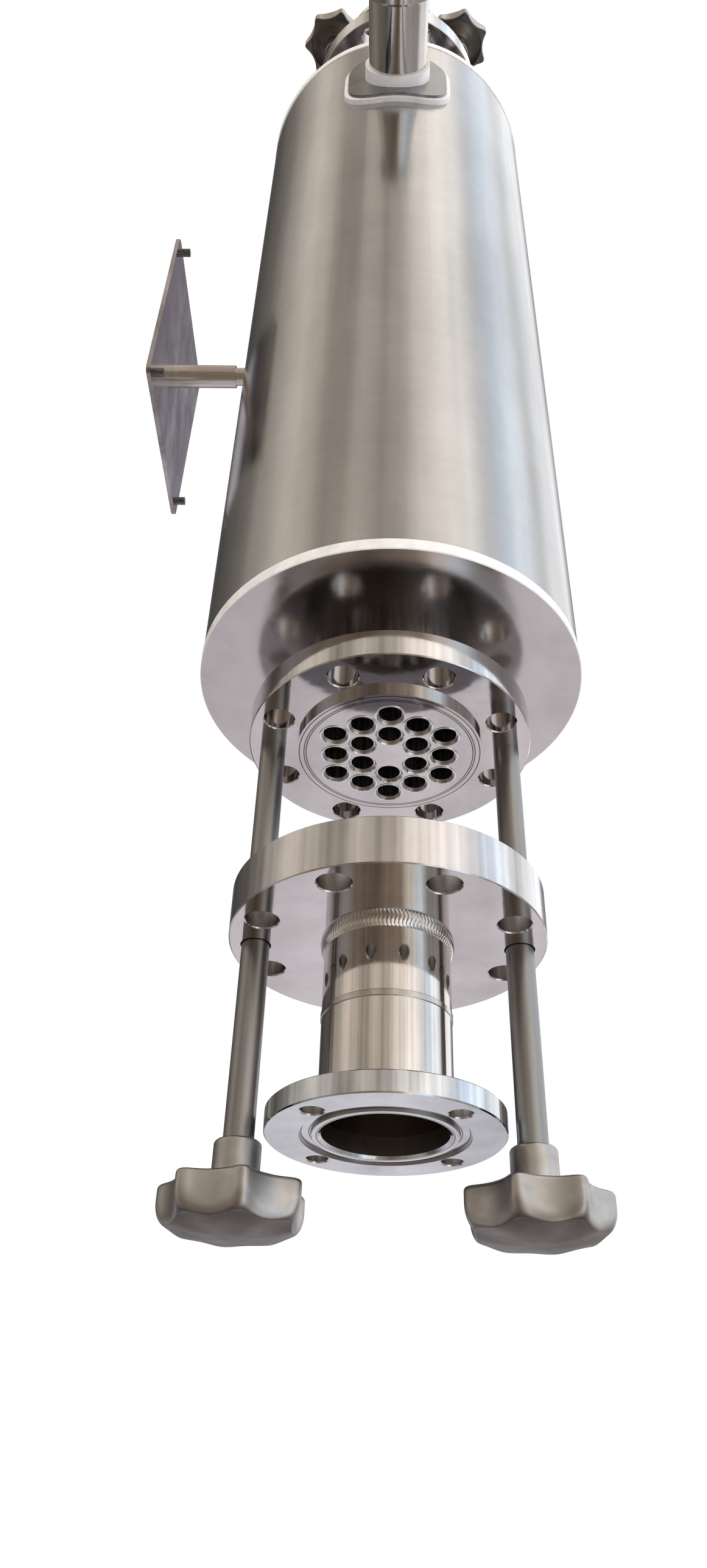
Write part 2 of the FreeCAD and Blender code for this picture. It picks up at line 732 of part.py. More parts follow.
def make_shell_pipe(side):
    """The shell's nozzle pipe, from the inner shell out to its ferrule."""
    name = f"{side}_shell_pipe"
    reach = f"{SHELL_NOZZLE_REACH} - Sizes.ferrule_length"
    outer = cylinder(f"{name}_outside", "Sizes.shell_pipe_radius", reach)
    inner = cylinder(f"{name}_inside", SHELL_NOZZLE_BORE, reach)
    pipe = nozzle_axis(cut(f"{name}_tube", outer, inner), side)
    core = centred_cylinder(f"{name}_core", SHELL_RADIUS, "2 * Sizes.jacket_half_length")
    keep(cut(name, pipe, core), name)


def make_pipe_weld(side):
    """The pale weld collar where the nozzle pipe leaves its pad."""
    name = f"{side}_pipe_weld"
    outer_end = "Sizes.jacket_radius + Sizes.pad_thickness + Sizes.pipe_weld_height"
    outer = doc.addObject("Part::Cylinder", f"{name}_outside")
    outer.setExpression("Radius", "Sizes.shell_pipe_radius + Sizes.pipe_weld_width")
    outer.setExpression("Height", outer_end)
    inner = cylinder(f"{name}_inside", "Sizes.shell_pipe_radius", outer_end)
    collar = nozzle_axis(cut(f"{name}_collar", outer, inner), side)
    core = centred_cylinder(f"{name}_core", PAD_FACE,
                            "2 * Sizes.jacket_half_length")
    keep(cut(name, collar, core), name)


def make_ferrule(side):
    """The clamp ferrule on the nozzle pipe's end."""
    body = new_body(f"{side}_ferrule")
    bore = SHELL_NOZZLE_BORE
    rim_back = "Sizes.ferrule_length - Sizes.ferrule_rim"
    corners = [
        (bore, "0"),
        ("Sizes.shell_pipe_radius", "0"),
        ("Sizes.shell_pipe_radius", f"{rim_back} - Sizes.ferrule_neck / 2"),
        ("Sizes.shell_pipe_radius + Sizes.ferrule_lip", rim_back),
        ("Sizes.shell_pipe_radius + Sizes.ferrule_lip", "Sizes.ferrule_length"),
        (bore, "Sizes.ferrule_length"),
    ]
    turn_profile(body, corners)
    nozzle_axis(body, side)
    sign = "-1" if side == "front" else "1"
    body.setExpression("Placement.Base.y",
                       f"{sign} * ({SHELL_NOZZLE_REACH} - Sizes.ferrule_length)")
    keep(body, f"{side}_ferrule")


# ---------------------------------------------------------------- bracket

def make_bracket_plate():
    """The upright plate, its outer face on the YZ plane."""
    body = new_body("bracket_plate_body")
    sketch = new_sketch(body, "YZ_Plane")
    add_rounded_rectangle(sketch, "Sizes.plate_width", "Sizes.plate_height",
                          "Sizes.plate_corner")
    pad(body, sketch, "Sizes.plate_thickness")
    keep(body, "bracket_plate")


def make_bracket_studs():
    """Four studs that stand on the plate's inner face, one near each corner."""
    sketch = doc.addObject("Sketcher::SketchObject", "stud_sketch")
    across = "(Sizes.plate_width / 2 - Sizes.stud_inset)"
    up = "(Sizes.plate_height / 2 - Sizes.stud_inset)"
    for side in (-1, 1):
        for level in (-1, 1):
            add_circle(sketch, "Sizes.stud_radius", f"{side} * {across}", f"{level} * {up}")
    studs = extrude("studs", sketch, "Sizes.stud_length")
    studs.Placement.Rotation = FreeCAD.Rotation(FreeCAD.Vector(1, 1, 1), 120)
    studs.setExpression("Placement.Base.x", "Sizes.plate_thickness")
    keep(studs, "bracket_studs")


def make_bracket_arm():
    """The round arm between the plate and the jacket, thinner where it meets it."""
    gap = "Sizes.plate_standoff - Sizes.plate_thickness"
    arm = cylinder("arm_bar", "Sizes.arm_radius", f"{gap} - Sizes.arm_spigot_length")
    spigot = cylinder("arm_spigot", "Sizes.arm_spigot_radius", f"{gap} + Sizes.arm_radius")
    whole = doc.addObject("Part::MultiFuse", "arm_whole")
    whole.Shapes = [arm, spigot]
    whole.Placement.Rotation = FreeCAD.Rotation(Y_AXIS, 90)
    whole.setExpression("Placement.Base.x", "Sizes.plate_thickness")
    core = centred_cylinder("arm_core", "Sizes.jacket_radius", "2 * Sizes.jacket_half_length")
    keep(cut("arm", whole, core), "bracket_arm")


# ---------------------------------------------------------------- build and write

def check_document():
    """Stop at the first object that failed or sub-part whose shape isn't sound."""
    for item in doc.Objects:
        if "Invalid" in item.State or "Error" in item.State:
            raise RuntimeError(f"{item.Label} failed: {item.State}")
    for node in nodes:
        if node.Shape.isNull() or not node.Shape.isValid():
            raise RuntimeError(f"{node.Label} has no sound shape")


def write_nodes():
    """Write each sub-part to a STEP file named after its node."""
    os.makedirs("parts", exist_ok=True)
    for node in nodes:
        node.Shape.exportStep(f"parts/{node.Label}.step")


sheet = make_sheet()
make_jacket()
make_inner_shell()
make_tube_bundle()
for end in ENDS:
    make_end_plate(end)
    make_rim_weld(end)
    make_tubesheet_flange(end)
    make_tubesheet(end)
    make_cover(end)
    make_cover_weld(end)
    make_nozzle_pipe(end)
    make_pipe_seam(end)
    make_nozzle_flange(end)
    for side in SIDES:
        make_rod(end, side)
        make_knob(end, side)
for side in ("front", "rear"):
    make_nozzle_pad(side)
    make_pad_weld(side)
    make_shell_pipe(side)
    make_pipe_weld(side)
    make_ferrule(side)
make_bracket_plate()
make_bracket_studs()
make_bracket_arm()
doc.recompute()
check_document()
write_nodes()
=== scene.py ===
import json
import math

import bpy
import numpy as np
from mathutils import Matrix, Vector


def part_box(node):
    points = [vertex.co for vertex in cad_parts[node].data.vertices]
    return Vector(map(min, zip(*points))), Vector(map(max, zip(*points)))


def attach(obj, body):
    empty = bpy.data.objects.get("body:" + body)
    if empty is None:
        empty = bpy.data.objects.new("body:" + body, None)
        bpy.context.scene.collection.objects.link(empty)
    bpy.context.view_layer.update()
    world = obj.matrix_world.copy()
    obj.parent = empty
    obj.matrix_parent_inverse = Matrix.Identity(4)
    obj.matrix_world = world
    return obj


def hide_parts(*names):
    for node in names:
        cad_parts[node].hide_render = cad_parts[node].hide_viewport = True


# The looks of a shell and tube heat exchanger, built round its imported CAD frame.
# Lengths are in metres, and MM turns a size given in millimetres into metres.

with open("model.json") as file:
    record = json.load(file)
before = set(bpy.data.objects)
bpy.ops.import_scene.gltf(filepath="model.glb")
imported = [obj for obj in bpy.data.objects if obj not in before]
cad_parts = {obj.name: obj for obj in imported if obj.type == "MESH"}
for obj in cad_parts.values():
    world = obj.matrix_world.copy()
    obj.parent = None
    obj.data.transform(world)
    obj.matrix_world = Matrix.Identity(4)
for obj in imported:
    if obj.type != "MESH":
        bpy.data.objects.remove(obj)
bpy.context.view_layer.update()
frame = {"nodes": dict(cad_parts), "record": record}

MM = 0.001
TURN = 2 * math.pi
OUTWARD = {"lower": -1, "upper": 1}


def middle(node):
    """The centre of a CAD node's box."""
    low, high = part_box(node)
    return (low + high) / 2


AXIS = middle("jacket_shell")


def outer_face(end, part):
    """The height of the outward face of one of an end's parts."""
    low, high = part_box(f"{end}_{part}")
    return high.z if end == "upper" else low.z


def half_width(node):
    """Half a node's width along X."""
    low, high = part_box(node)
    return (high.x - low.x) / 2


# ---------------------------------------------------------------- materials

class Wiring:
    """A node tree, with short calls for what the materials and the room share."""

    def __init__(self, tree):
        self.tree = tree

    def node(self, kind, **settings):
        """A new node, with its settings."""
        made = self.tree.nodes.new(kind)
        for key, value in settings.items():
            setattr(made, key, value)
        return made

    def join(self, socket, target):
        """A link from an output socket to an input socket."""
        self.tree.links.new(socket, target)

    def pair(self, operation, first, second):
        """Two sockets put through one Math operation."""
        made = self.node("ShaderNodeMath", operation=operation)
        self.join(first, made.inputs[0])
        self.join(second, made.inputs[1])
        return made.outputs["Value"]

    def add(self, first, second):
        return self.pair("ADD", first, second)

    def times(self, first, second):
        return self.pair("MULTIPLY", first, second)

    def spread(self, value, low, high, start=0.3, end=0.7):
        """`value` from start..end stretched over low..high."""
        made = self.node("ShaderNodeMapRange")
        made.inputs["From Min"].default_value = start
        made.inputs["From Max"].default_value = end
        made.inputs["To Min"].default_value = low
        made.inputs["To Max"].default_value = high
        self.join(value, made.inputs["Value"])
        return made.outputs["Result"]

    def blend(self, value, first, second):
        """A colour between two, by `value`; each is a plain colour or a colour socket."""
        made = self.node("ShaderNodeMix", data_type="RGBA")
        for place, colour in (("A", first), ("B", second)):
            if isinstance(colour, tuple):
                made.inputs[place].default_value = (*colour, 1)
            else:
                self.join(colour, made.inputs[place])
        self.join(value, made.inputs["Factor"])
        return made.outputs["Result"]


class Paint(Wiring):
    """One node material, with short calls for the patterns that the steels share."""

    def __init__(self, name):
        self.material = bpy.data.materials.new(name)
        self.material.use_nodes = True
        super().__init__(self.material.node_tree)
        self.shader = self.tree.nodes["Principled BSDF"]
        self.shader.inputs["Metallic"].default_value = 1
        self.place = self.node("ShaderNodeTexCoord").outputs["Object"]

    def stretched(self, stretch):
        """Object coordinates, about the exchanger's axis, scaled along each of X, Y and Z."""
        mapping = self.node("ShaderNodeMapping")
        mapping.inputs["Scale"].default_value = stretch
        self.join(self.place, mapping.inputs["Vector"])
        return mapping.outputs["Vector"]

    def noise(self, stretch, detail=4, roughness=0.6):
        """Noise with a value near 0.5, its features 1 / stretch metres across."""
        made = self.node("ShaderNodeTexNoise")
        made.inputs["Scale"].default_value = 1
        made.inputs["Detail"].default_value = detail
        made.inputs["Roughness"].default_value = roughness
        self.join(self.stretched(stretch), made.inputs["Vector"])
        return made.outputs["Fac"]

    def off_axis(self):
        """The distance from the exchanger's axis."""
        centre = self.node("ShaderNodeVectorMath", operation="SUBTRACT")
        centre.inputs[1].default_value = (AXIS.x, AXIS.y, 0)
        self.join(self.place, centre.inputs[0])
        flat = self.node("ShaderNodeVectorMath", operation="MULTIPLY")
        flat.inputs[1].default_value = (1, 1, 0)
        self.join(centre.outputs["Vector"], flat.inputs[0])
        radius = self.node("ShaderNodeVectorMath", operation="LENGTH")
        self.join(flat.outputs["Vector"], radius.inputs[0])
        return radius.outputs["Value"]

    def turned(self, pitch):
        """Noise in fine rings round the exchanger's axis, as a lathe leaves it."""
        height = self.node("ShaderNodeSeparateXYZ")
        self.join(self.place, height.inputs["Vector"])
        both = self.node("ShaderNodeCombineXYZ")
        self.join(self.off_axis(), both.inputs["X"])
        self.join(height.outputs["Z"], both.inputs["Y"])
        made = self.node("ShaderNodeTexNoise")
        made.inputs["Scale"].default_value = 1 / pitch
        made.inputs["Detail"].default_value = 2
        self.join(both.outputs["Vector"], made.inputs["Vector"])
        return made.outputs["Fac"]

    def within(self, radius):
        """1 nearer than `radius` to the exchanger's axis, 0 beyond it."""
        made = self.node("ShaderNodeMath", operation="LESS_THAN")
        made.inputs[1].default_value = radius
        self.join(self.off_axis(), made.inputs[0])
        return made.outputs["Value"]

    def facing_ends(self, start, end):
        """0 on upright walls, rising to 1 on faces that look up or down the exchanger."""
        parts = self.node("ShaderNodeSeparateXYZ")
        self.join(self.node("ShaderNodeNewGeometry").outputs["Normal"], parts.inputs["Vector"])
        size = self.node("ShaderNodeMath", operation="ABSOLUTE")
        self.join(parts.outputs["Z"], size.inputs[0])
        return self.spread(size.outputs["Value"], 0, 1, start, end)

    def grooves(self, radii, width):
        """1 in narrow rings at the given distances from the exchanger's axis, else 0."""
        total = None
        for radius in radii:
            made = self.node("ShaderNodeMath", operation="COMPARE")
            made.inputs[1].default_value = radius
            made.inputs[2].default_value = width / 2
            self.join(self.off_axis(), made.inputs[0])
            ring = made.outputs["Value"]
            total = self.add(total, ring) if total else ring
        return total

    def colour(self, socket):
        """Takes the base colour from a socket."""
        self.join(socket, self.shader.inputs["Base Color"])

    def roughness(self, socket):
        """Takes the roughness from a socket."""
        self.join(socket, self.shader.inputs["Roughness"])

    def relief(self, *layers):
        """Bump from one or more (height value, depth in metres) layers."""
        normal = None
        for value, depth in layers:
            bump = self.node("ShaderNodeBump")
            bump.inputs["Strength"].default_value = 1
            bump.inputs["Distance"].default_value = depth
            self.join(value, bump.inputs["Height"])
            if normal:
                self.join(normal, bump.inputs["Normal"])
            normal = bump.outputs["Normal"]
        self.join(normal, self.shader.inputs["Normal"])


def brushed_jacket():
    """Satin sheet with fine rings of brushing, faint upright smudges and soft patches."""
    paint = Paint("brushed_jacket")
    patches = paint.noise((16, 16, 9), detail=4)
    brush = paint.noise((14, 14, 1500), detail=5, roughness=0.7)
    bands = paint.noise((10, 10, 170), detail=6, roughness=0.75)
    smudge = paint.noise((110, 110, 6), detail=5)
    tone = paint.add(paint.spread(patches, 0, 0.8), paint.spread(bands, 0, 0.2))
    paint.colour(paint.blend(tone, (0.395, 0.39, 0.385), (0.525, 0.52, 0.515)))
    paint.roughness(paint.spread(smudge, 0.13, 0.23))
    paint.relief((brush, 0.000008), (smudge, 0.00005))
    return paint.material


WARM_STEEL = (0.56, 0.535, 0.53), (0.66, 0.64, 0.64)
# steel tones tinted blue: a painted reflection of bluish room light, used on the nozzle flange
COOL_STEEL = (0.49, 0.505, 0.525), (0.66, 0.69, 0.715)


def polished_flange(name="polished_flange", grooves=(), rim=None, tones=WARM_STEEL):
    """Turned and polished steel, with lathe rings, faint haze, and ring grooves drawn only as dark
    rings of painted shade.

    Upright walls within `rim` of the axis, which are those of holes, are duller.
    """
    paint = Paint(name)
    haze = paint.noise((45, 45, 30), detail=3)
    rings = paint.turned(0.45 * MM)
    tone = paint.blend(paint.spread(haze, 0, 1), *tones)
    if grooves:
        # painted shade: each groove is only a dark ring in the colour, standing in for the shade
        # inside it
        cut = paint.grooves(grooves, 0.5 * MM)
        tone = paint.blend(cut, tone, (0.12, 0.105, 0.10))
    shine = paint.spread(haze, 0.04, 0.11)
    if rim:
        wall = paint.times(paint.within(rim), paint.facing_ends(0.5, 0.1))
        tone = paint.blend(wall, tone, (0.60, 0.57, 0.55))
        shine = paint.add(shine, paint.spread(wall, 0, 0.22, 0, 1))
    paint.colour(tone)
    paint.roughness(shine)
    paint.relief((rings, 0.0000008), (haze, 0.00006))
    return paint.material


def pipe_steel():
    """Polished pipe with faint upright drawing marks; duller in its bore, where its colour is
    painted dark brown as shade.
    """
    paint = Paint("pipe_steel")
    drawn = paint.noise((420, 420, 9), detail=4)
    haze = paint.noise((60, 60, 25), detail=4)
    outside = paint.blend(paint.spread(haze, 0, 1), (0.56, 0.525, 0.495), (0.65, 0.625, 0.605))
    # painted shade: inside the bore the colour is darkened to brown, standing in for the shade
    # within the pipe
    bore = paint.within(half_width("lower_nozzle_pipe") - 1 * MM)
    paint.colour(paint.blend(bore, outside, (0.30, 0.25, 0.21)))
    paint.roughness(paint.add(paint.spread(drawn, 0.05, 0.12), paint.spread(bore, 0, 0.25, 0, 1)))
    paint.relief((drawn, 0.000004), (haze, 0.00005))
    return paint.material


def weld_bead():
    """Pale pickled weld metal, matte and a little uneven."""
    paint = Paint("weld_bead")
    paint.shader.inputs["Metallic"].default_value = 0.25
    grain = paint.noise((900, 900, 900), detail=4)
    tint = paint.noise((120, 120, 120), detail=3)
    paint.colour(paint.blend(paint.spread(tint, 0, 1), (0.72, 0.71, 0.70), (0.86, 0.86, 0.86)))
    paint.roughness(paint.spread(grain, 0.34, 0.58))
    paint.relief((grain, 0.00012))
    return paint.material


def bright_weld(name, dark, light):
    """Bright TIG weld metal with a fine grain."""
    paint = Paint(name)
    grain = paint.noise((500, 500, 500), detail=3)
    tint = paint.noise((90, 90, 90), detail=3)
    paint.colour(paint.blend(paint.spread(tint, 0, 1), dark, light))
    paint.roughness(paint.spread(grain, 0.10, 0.24))
    paint.relief((grain, 0.00006))
    return paint.material


def blasted_knob():
    """Bead-blasted casting: grey-brown lobes and hub walls with random worn tone; the faces that
    look along the axis, the domed front most of all, are painted much darker as shade.
    """
    paint = Paint("blasted_knob")
    grain = paint.noise((2600, 2600, 2600), detail=3, roughness=0.7)
    wear = paint.noise((60, 60, 90), detail=5)
    worn = paint.spread(wear, 0, 1)
    # painted shade: faces that look along the axis (the domed front, the back, the hub's top) take
    # a far darker colour than the lobes
    front = paint.facing_ends(0.45, 0.85)
    paint.colour(paint.blend(front, paint.blend(worn, (0.40, 0.378, 0.362), (0.52, 0.498, 0.482)),
                             paint.blend(worn, (0.09, 0.076, 0.066), (0.14, 0.124, 0.11))))
    paint.roughness(paint.spread(wear, 0.42, 0.32))
    paint.relief((grain, 0.000035), (wear, 0.00010))
    return paint.material


def guide_rod():
    """Ground bar, satin, with fine rings and long rubbed streaks."""
    paint = Paint("guide_rod")
    rubbed = paint.noise((260, 260, 14), detail=5)
    rings = paint.noise((10, 10, 3200), detail=3)
    paint.colour(paint.blend(paint.spread(rubbed, 0, 1),
                             (0.255, 0.25, 0.245), (0.375, 0.368, 0.36)))
    paint.roughness(paint.spread(rubbed, 0.32, 0.48))
    paint.relief((rings, 0.000008), (rubbed, 0.00002))
    return paint.material


def tube_steel(name="tube_steel", dark=(0.58, 0.56, 0.55), light=(0.78, 0.765, 0.76)):
    """Drawn tube, with long streaks."""
    paint = Paint(name)
    drawn = paint.noise((500, 500, 12), detail=4)
    paint.colour(paint.blend(paint.spread(drawn, 0, 1), dark, light))
    paint.roughness(paint.spread(drawn, 0.18, 0.34))
    paint.relief((drawn, 0.00001))
    return paint.material


def bracket_steel():
    """Cold-rolled plate, half dull, with upright smudges."""
    paint = Paint("bracket_steel")
    smudge = paint.noise((60, 60, 34), detail=4)
    fine = paint.noise((900, 900, 60), detail=3)
    paint.colour(paint.blend(paint.spread(smudge, 0, 1), (0.24, 0.215, 0.225), (0.54, 0.515, 0.53)))
    paint.roughness(paint.spread(smudge, 0.12, 0.24))
    paint.relief((fine, 0.000006), (smudge, 0.00008))
    return paint.material


def dark_stud():
    """Blackened stud, dull, with a worn grey bloom."""
    paint = Paint("dark_stud")
    bloom = paint.noise((400, 400, 400), detail=4)
    paint.colour(paint.blend(paint.spread(bloom, 0, 1), (0.10, 0.10, 0.105), (0.22, 0.215, 0.22)))
    paint.roughness(paint.spread(bloom, 0.25, 0.42))
    paint.relief((bloom, 0.00002))
    return paint.material


def end_plate():
    """The jacket's flat end, hazier than the flanges, so that reflections soften with distance."""
    paint = Paint("end_plate")
    haze = paint.noise((38, 38, 30), detail=4)
    rings = paint.turned(1.1 * MM)
    paint.colour(paint.blend(paint.spread(haze, 0, 1), (0.55, 0.525, 0.52), (0.65, 0.63, 0.63)))
    paint.roughness(paint.spread(haze, 0.13, 0.22))
    paint.relief((rings, 0.000002), (haze, 0.00008))
    return paint.material


def nozzle_pad():
    """The pad under a shell nozzle: grey, dull and blotched by the heat of its welds."""
    paint = Paint("nozzle_pad")
    blotch = paint.noise((70, 70, 70), detail=5)
    paint.colour(paint.blend(paint.spread(blotch, 0, 1), (0.19, 0.19, 0.195), (0.33, 0.33, 0.335)))
    paint.roughness(paint.spread(blotch, 0.22, 0.38))
    paint.relief((blotch, 0.00004))
    return paint.material


def satin_bar():
    """The bracket's arm: warm satin bar with fine rings."""
    paint = Paint("satin_bar")
    rings = paint.noise((2400, 12, 12), detail=3)
    rubbed = paint.noise((30, 220, 220), detail=4)
    paint.colour(paint.blend(paint.spread(rubbed, 0, 1), (0.50, 0.455, 0.415), (0.68, 0.635, 0.59)))
    paint.roughness(paint.spread(rubbed, 0.17, 0.27))
    paint.relief((rings, 0.00001), (rubbed, 0.00003))
    return paint.material


STEELS = {
    make.__name__: make()
    for make in (brushed_jacket, polished_flange, pipe_steel, weld_bead, blasted_knob,
                 guide_rod, tube_steel, bracket_steel)
}
BRIGHT_WELD = bright_weld("bright_weld", (0.62, 0.59, 0.56), (0.86, 0.845, 0.83))
SEAM_WELD = bright_weld("seam_weld", (0.36, 0.33, 0.30), (0.58, 0.55, 0.52))
END_PLATE = end_plate()
PAD = nozzle_pad()
SATIN_BAR = satin_bar()

BORE_RADIUS = 25 * MM
# the nozzle flange: its ring grooves are dark rings of painted shade
NOZZLE_FLANGE = polished_flange(
    "nozzle_flange", [BORE_RADIUS + step * MM for step in (1.6, 3.7, 4.5, 7.6)],
    # bluish tones: a painted reflection
    half_width("lower_nozzle_flange") - MM, COOL_STEEL)
COVER = polished_flange("cover_steel", (), half_width("lower_cover") - MM)
TUBESHEET_RADIUS = half_width("lower_tubesheet")
TUBESHEET_MARGIN = 6 * MM
# the tubesheet: its ring grooves near the edge are dark rings of painted shade
TUBESHEET = polished_flange(
    "tubesheet_face", [TUBESHEET_RADIUS - step * MM for step in (1.3, 3.6, 4.6)],
    TUBESHEET_RADIUS - TUBESHEET_MARGIN)
TUBE_LIPS = polished_flange("tube_lips", tones=((0.76, 0.745, 0.74), (0.86, 0.85, 0.85)))

# pieces that look unlike the rest of their slot
OWN_STEEL = {
    "lower_nozzle_flange": NOZZLE_FLANGE,
    "upper_nozzle_flange": NOZZLE_FLANGE,
    "lower_cover": COVER,
    "upper_cover": COVER,
    "front_nozzle_pad": PAD,
    "rear_nozzle_pad": PAD,
    "lower_tubesheet": TUBESHEET,
    "upper_tubesheet": TUBESHEET,
    # painted shade: the inner shell takes a darkened copy of the tube steel, for the shade in the
    # gap between the end plate and the flange
    "inner_shell": tube_steel("inner_shell_steel", (0.13, 0.115, 0.105), (0.34, 0.315, 0.30)),
    "lower_pipe_seam": SEAM_WELD,
    "upper_pipe_seam": SEAM_WELD,
    "bracket_arm": SATIN_BAR,
    "bracket_studs": dark_stud(),
    "lower_end_plate": END_PLATE,
    "upper_end_plate": END_PLATE,
}

for name, node in frame["nodes"].items():
    for place in node.material_slots:
        slot = place.material.name.split(".")[0]
        place.material = OWN_STEEL.get(name, STEELS[slot])


# ---------------------------------------------------------------- mesh helpers

def loft(name, rings, material, closed=False, sharp=40):
    """A skin through rings of points, each an array of the same length.

    The first and last rings meet if `closed`; otherwise the two ends stay open.
    """
    count = len(rings[0])
    points = np.concatenate(rings)
    pairs = list(zip(range(len(rings)), range(1, len(rings))))
    if closed:
        pairs.append((len(rings) - 1, 0))
    faces = []
    for low, high in pairs:
        for i in range(count):
            j = (i + 1) % count
            faces.append((low * count + i, low * count + j, high * count + j, high * count + i))
    mesh = bpy.data.meshes.new(name)
    mesh.from_pydata(points.tolist(), [], faces)
    make_outward(mesh)
    mesh.shade_smooth()
    mesh.set_sharp_from_angle(angle=math.radians(sharp))
    mesh.materials.append(material)
    piece = bpy.data.objects.new(name, mesh)
    bpy.context.scene.collection.objects.link(piece)
    return piece


def make_outward(mesh):
    """Turns a mesh's four-sided faces outward, by the sign of the volume that they enclose."""
    corners = np.array([v.co for v in mesh.vertices])
    volume = 0
    for face in mesh.polygons:
        a, b, c, d = (corners[i] for i in face.vertices)
        volume += np.dot(a, np.cross(b, c)) + np.dot(a, np.cross(c, d))
    if volume < 0:
        mesh.flip_normals()


def quarter_turn(steps):
    """Angles from 0 to a right angle, in even steps."""
    return [math.pi / 2 * step / steps for step in range(steps + 1)]


# ---------------------------------------------------------------- star knobs

LOBES = 7
KNOB_RADIUS = 29.4 * MM
KNOB_DEPTH = 17.0 * MM
DOME = 1.5 * MM
HUB_RADIUS = 9.2 * MM
HUB_EDGE = 1.5 * MM
SCOOP_RADIUS = 22.0 * MM
VALLEY = 23.5 * MM
CUP_RADIUS = 22.0 * MM
TOP_EDGE = 1.8 * MM
RIDGE_ARC = math.radians(5.2)
# the crease between the lobes and the domed front: in the valleys, and on the ridges
CREASE_RADIUS = (21.9 * MM, 23.6 * MM)
CREASE_SETBACK = (2.3 * MM, 3.6 * MM)
LIP_DEPTH = (4.2 * MM, 9.0 * MM)
# the domed front, as shares of the crease's radius from the crease to the middle
DOME_SHARES = (0.985, 0.96, 0.93, 0.88, 0.8, 0.7, 0.55, 0.4, 0.25, 0.1, 0.001)
DOME_POWER = 2.4
# the hole for the rod
HOLE_DEPTH = 4 * MM
HOLE_EDGE = 0.3 * MM
HOLE_CLEARANCE = 0.08 * MM
# the hollow back, from the hub out to the cup's edge: (radius, depth beyond the back)
CUP_ROWS = [
    (HUB_RADIUS, -2 * MM),
    (HUB_RADIUS + 0.1 * MM, 0.6 * MM),
    (HUB_RADIUS + 0.9 * MM, 1.5 * MM),
    (14.3 * MM, 1.7 * MM),
    (14.8 * MM, 2.0 * MM),
    (20.2 * MM, 4.9 * MM),
    (21.4 * MM, 4.7 * MM),
    (CUP_RADIUS - 0.2 * MM, 3.6 * MM),
    (CUP_RADIUS, 0.4 * MM),
    (CUP_RADIUS + 0.2 * MM, 0),
]
POINTS_PER_LOBE = 36
RIDGE_SAMPLES = 15
EDGE_STEPS = 6
LIP_STEPS = 12
# how far each knob is turned from the CAD's place, in degrees
KNOB_TURN = {"lower_left": 0, "lower_right": 16, "upper_left": 0, "upper_right": 0}


def lobed_outline(angles, turn):
    """The knob's outline: a circle cut by wide scoops, its ridges rounded by averaging."""
    pitch = TURN / LOBES
    centre = VALLEY + SCOOP_RADIUS
    outlines = []
    for shift in np.linspace(-RIDGE_ARC, RIDGE_ARC, RIDGE_SAMPLES):
        off = (angles - turn + shift + pitch / 2) % pitch - pitch / 2
        inside = np.sqrt(SCOOP_RADIUS ** 2 - (centre * np.sin(off)) ** 2)
        outlines.append(np.minimum(centre * np.cos(off) - inside, KNOB_RADIUS))
    return np.mean(outlines, axis=0)


def hub_rows(back, bore):
    """(radius, depth) down the rod's hole, round the hub and over the hollow back."""
    rows = [(bore, HOLE_DEPTH), (bore, HOLE_EDGE), (bore + HOLE_EDGE, 0)]
    for angle in quarter_turn(EDGE_STEPS):
        rows.append((HUB_RADIUS - HUB_EDGE * (1 - math.sin(angle)),
                     HUB_EDGE * (1 - math.cos(angle))))
    for radius, depth in CUP_ROWS:
        rows.append((radius, back + depth))
    return rows


def star_rows(angles, turn, back, front):
    """(radius, depth) arrays from the back edge down the lobes, over the lip to the dome."""
    outline = lobed_outline(angles, turn)
    share = 0.5 - 0.5 * np.cos(LOBES * (angles - turn))

    def between(pair):
        """The value from the valleys' to the ridges' at each angle."""
        return pair[0] + share * (pair[1] - pair[0])

    crease = between(CREASE_RADIUS)
    crease_depth = front + DOME - between(CREASE_SETBACK)
    lip_start = crease_depth - between(LIP_DEPTH)
    rows = []
    for angle in quarter_turn(EDGE_STEPS):
        rows.append((outline - TOP_EDGE * (1 - math.sin(angle)),
                     back + TOP_EDGE * (1 - math.cos(angle))))
    rows.append((outline, (back + TOP_EDGE + lip_start) / 2))
    for angle in quarter_turn(LIP_STEPS):
        rows.append((crease + (outline - crease) * math.cos(angle),
                     lip_start + (crease_depth - lip_start) * math.sin(angle)))
    for share_out in DOME_SHARES:
        fall = between(CREASE_SETBACK) * share_out ** DOME_POWER
        rows.append((crease * share_out, front + DOME - fall))
    return rows


def make_knob(end, side):
    """A star knob with a rounded hub, a hollow back and a shallow domed front."""
    node = f"{end}_{side}_knob"
    low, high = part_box(node)
    outward = OUTWARD[end]
    mouth = low.z if end == "upper" else high.z
    centre = middle(f"{end}_{side}_rod")
    front = high.z - low.z - DOME
    back = front - KNOB_DEPTH
    angles = np.linspace(0, TURN, LOBES * POINTS_PER_LOBE, endpoint=False)
    rows = hub_rows(back, half_width(f"{end}_{side}_rod") + HOLE_CLEARANCE)
    rows += star_rows(angles, math.radians(KNOB_TURN[f"{end}_{side}"]), back, front)
    rings = []
    for radius, depth in rows:
        rings.append(np.column_stack([
            centre.x + radius * np.cos(angles),
            centre.y + radius * np.sin(angles),
            np.broadcast_to(mouth + outward * depth, angles.shape),
        ]))
    knob = loft(node + "_body", rings, STEELS["blasted_knob"], sharp=50)
    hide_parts(node)
    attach(knob, f"{end}_{side}_grip")


for end in OUTWARD:
    for side in ("left", "right"):
        make_knob(end, side)


# ---------------------------------------------------------------- welds

BEAD_WIDTH = 1.7 * MM
BEAD_HEIGHT = 4.3 * MM
BEAD_STEPS = 10
RIPPLES = 104
STEPS_PER_RIPPLE = 8
# the share of the bead that each ripple takes away, and how far its middle trails its edges
RIPPLE_DEPTH = 0.17
RIPPLE_LAG = 0.55


